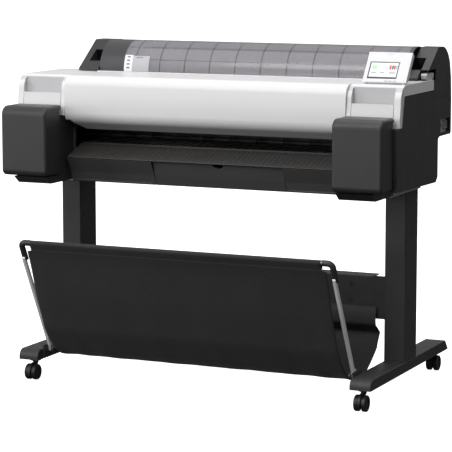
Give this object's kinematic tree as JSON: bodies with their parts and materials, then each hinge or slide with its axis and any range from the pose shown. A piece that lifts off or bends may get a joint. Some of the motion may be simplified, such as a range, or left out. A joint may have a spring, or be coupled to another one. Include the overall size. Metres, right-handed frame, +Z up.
{
  "type": "large format plotter",
  "caption": "Wide roll-fed plotter on a two-post caster stand, with hinged white top cover, dark ink tank covers, smoky roll cover, tilting panel and cloth catch basket.",
  "frame": {"origin": "on the floor, midway between the side covers and midway between the basket rod and the rear ends of the feet", "axes": "+X to the right of a person facing the printer, -Y the front where the paper comes out, +Z up"},
  "size_m": [1.29, 0.847, 1.0675],
  "materials": {
    "dark_plastic": "fine matte grain",
    "white_plastic": "satin",
    "grey_plastic": "satin",
    "smoke_plastic": "clear smoke, glossy",
    "cover_grey": "satin",
    "black_steel": "powder coat",
    "bare_steel": "zinc plated",
    "silver_metal": "satin anodised",
    "caster_plastic": "satin",
    "roller_rubber": "matte",
    "black_cloth": "woven",
    "paper": "matte",
    "screen_glass": "glossy",
    "motor_metal": "dull",
    "board": "lacquered",
    "ink_plastic": "satin"
  },
  "bodies": {
    "printer": {"base_frame": "bare_steel", "basket_brackets": "dark_plastic", "basket_rear_cloth": "black_cloth", "carriage_rail": "bare_steel", "control_board": "board", "cross_beam": "black_steel", "drive_belt": "dark_plastic", "drive_motors": "motor_metal", "front_fascia": "dark_plastic", "ink_tanks": "ink_plastic", "interface_panel": "bare_steel", "interface_sockets": "motor_metal", "left_end_cover": "white_plastic", "left_foot": "black_steel", "left_post": "black_steel", "left_roll_housing": "dark_plastic", "left_side_cover": "dark_plastic", "output_guide": "dark_plastic", "platen": "dark_plastic", "pocket_panels": "grey_plastic", "rear_cover": "dark_plastic", "right_end_cover": "white_plastic", "right_foot": "black_steel", "right_post": "black_steel", "right_roll_housing": "dark_plastic", "right_side_cover": "dark_plastic", "roll_tray": "dark_plastic", "stand_screws": "black_steel", "tank_bays": "dark_plastic", "top_deck": "white_plastic"},
    "top_cover": {"top_cover": "white_plastic"},
    "roll_cover": {"roll_cover": "smoke_plastic", "roll_cover_frame": "cover_grey", "cover_edge_guide": "white_plastic"},
    "left_tank_cover": {"left_tank_cover": "dark_plastic"},
    "right_tank_cover": {"right_tank_cover": "dark_plastic"},
    "operation_panel": {"panel_housing": "white_plastic", "panel_screen": "screen_glass"},
    "panel_button_left": {"panel_button_left": "grey_plastic"},
    "panel_button_middle": {"panel_button_middle": "grey_plastic"},
    "panel_button_right": {"panel_button_right": "grey_plastic"},
    "release_lever": {"release_lever": "grey_plastic"},
    "front_hatch": {"front_hatch": "dark_plastic"},
    "basket_frame": {"basket_rod": "bare_steel", "basket_arms": "silver_metal", "basket_elbows": "dark_plastic", "basket_front_cloth": "black_cloth"},
    "carriage": {"carriage": "dark_plastic"},
    "feed_roller": {"feed_roller": "roller_rubber"},
    "pinch_rollers": {"pinch_rollers": "bare_steel"},
    "media_roll": {"paper_roll": "paper", "roll_spool": "grey_plastic"},
    "caster_front_left": {"caster_fork_front_left": "caster_plastic"},
    "wheels_front_left": {"caster_wheels_front_left": "caster_plastic"},
    "caster_front_right": {"caster_fork_front_right": "caster_plastic"},
    "wheels_front_right": {"caster_wheels_front_right": "caster_plastic"},
    "caster_rear_left": {"caster_fork_rear_left": "caster_plastic"},
    "wheels_rear_left": {"caster_wheels_rear_left": "caster_plastic"},
    "caster_rear_right": {"caster_fork_rear_right": "caster_plastic"},
    "wheels_rear_right": {"caster_wheels_rear_right": "caster_plastic"}
  },
  "joints": [
    {"name": "top_cover_hinge", "type": "hinge", "parent": "printer", "child": "top_cover", "pos_m": [0, 0.004, 0.958], "axis": [-1, 0, 0], "range_deg": [0, 60]},
    {"name": "roll_cover_hinge", "type": "hinge", "parent": "printer", "child": "roll_cover", "pos_m": [0, 0.262, 0.919], "axis": [-1, 0, 0], "range_deg": [0, 80]},
    {"name": "left_tank_cover_hinge", "type": "hinge", "parent": "printer", "child": "left_tank_cover", "pos_m": [-0.556, -0.2255, 0.868], "axis": [-1, 0, 0], "range_deg": [0, 75]},
    {"name": "right_tank_cover_hinge", "type": "hinge", "parent": "printer", "child": "right_tank_cover", "pos_m": [0.556, -0.2255, 0.868], "axis": [-1, 0, 0], "range_deg": [0, 75]},
    {"name": "panel_tilt", "type": "hinge", "parent": "printer", "child": "operation_panel", "pos_m": [0.572, -0.1245, 0.9795], "axis": [-1, 0, 0], "range_deg": [-10, 45]},
    {"name": "release_lever_pivot", "type": "hinge", "parent": "printer", "child": "release_lever", "pos_m": [0.631, 0.092, 0.948], "axis": [1, 0, 0], "range_deg": [0, 30]},
    {"name": "front_hatch_hinge", "type": "hinge", "parent": "printer", "child": "front_hatch", "pos_m": [0.042, -0.138, 0.637], "axis": [1, 0, 0], "range_deg": [0, 70]},
    {"name": "basket_fold", "type": "hinge", "parent": "printer", "child": "basket_frame", "pos_m": [0, -0.227, 0.095], "axis": [-1, 0, 0], "range_deg": [0, 20]},
    {"name": "carriage_travel", "type": "slide", "parent": "printer", "child": "carriage", "axis": [1, 0, 0], "range_m": [-1.022, 0]},
    {"name": "feed_roller_spin", "type": "hinge", "parent": "printer", "child": "feed_roller", "pos_m": [0, 0.062, 0.734], "axis": [1, 0, 0], "continuous": true},
    {"name": "pinch_rollers_spin", "type": "hinge", "parent": "printer", "child": "pinch_rollers", "pos_m": [0, 0.062, 0.759], "axis": [1, 0, 0], "continuous": true},
    {"name": "media_roll_spin", "type": "hinge", "parent": "printer", "child": "media_roll", "pos_m": [0, 0.132, 0.965], "axis": [1, 0, 0], "continuous": true},
    {"name": "button_left_press", "type": "slide", "parent": "operation_panel", "child": "panel_button_left", "axis": [0, 0.8087, -0.5882], "range_m": [0, 0.0007], "stiffness_N_per_m": 400, "springref_m": -0.0006},
    {"name": "button_middle_press", "type": "slide", "parent": "operation_panel", "child": "panel_button_middle", "axis": [0, 0.8087, -0.5882], "range_m": [0, 0.0007], "stiffness_N_per_m": 400, "springref_m": -0.0006},
    {"name": "button_right_press", "type": "slide", "parent": "operation_panel", "child": "panel_button_right", "axis": [0, 0.8087, -0.5882], "range_m": [0, 0.0007], "stiffness_N_per_m": 400, "springref_m": -0.0006},
    {"name": "swivel_front_left", "type": "hinge", "parent": "printer", "child": "caster_front_left", "pos_m": [-0.56, -0.254, 0.06], "axis": [0, 0, 1], "continuous": true},
    {"name": "wheel_spin_front_left", "type": "hinge", "parent": "caster_front_left", "child": "wheels_front_left", "pos_m": [-0.56, -0.272, 0.025], "axis": [1, 0, 0], "continuous": true},
    {"name": "swivel_front_right", "type": "hinge", "parent": "printer", "child": "caster_front_right", "pos_m": [0.56, -0.254, 0.06], "axis": [0, 0, 1], "continuous": true},
    {"name": "wheel_spin_front_right", "type": "hinge", "parent": "caster_front_right", "child": "wheels_front_right", "pos_m": [0.56, -0.272, 0.025], "axis": [1, 0, 0], "continuous": true},
    {"name": "swivel_rear_left", "type": "hinge", "parent": "printer", "child": "caster_rear_left", "pos_m": [-0.56, 0.371, 0.06], "axis": [0, 0, 1], "continuous": true},
    {"name": "wheel_spin_rear_left", "type": "hinge", "parent": "caster_rear_left", "child": "wheels_rear_left", "pos_m": [-0.56, 0.389, 0.025], "axis": [1, 0, 0], "continuous": true},
    {"name": "swivel_rear_right", "type": "hinge", "parent": "printer", "child": "caster_rear_right", "pos_m": [0.56, 0.371, 0.06], "axis": [0, 0, 1], "continuous": true},
    {"name": "wheel_spin_rear_right", "type": "hinge", "parent": "caster_rear_right", "child": "wheels_rear_right", "pos_m": [0.56, 0.389, 0.025], "axis": [1, 0, 0], "continuous": true}
  ],
  "couplings": [
    {"joint": "pinch_rollers_spin", "follows": "feed_roller_spin", "ratio": -2.4286}
  ]
}
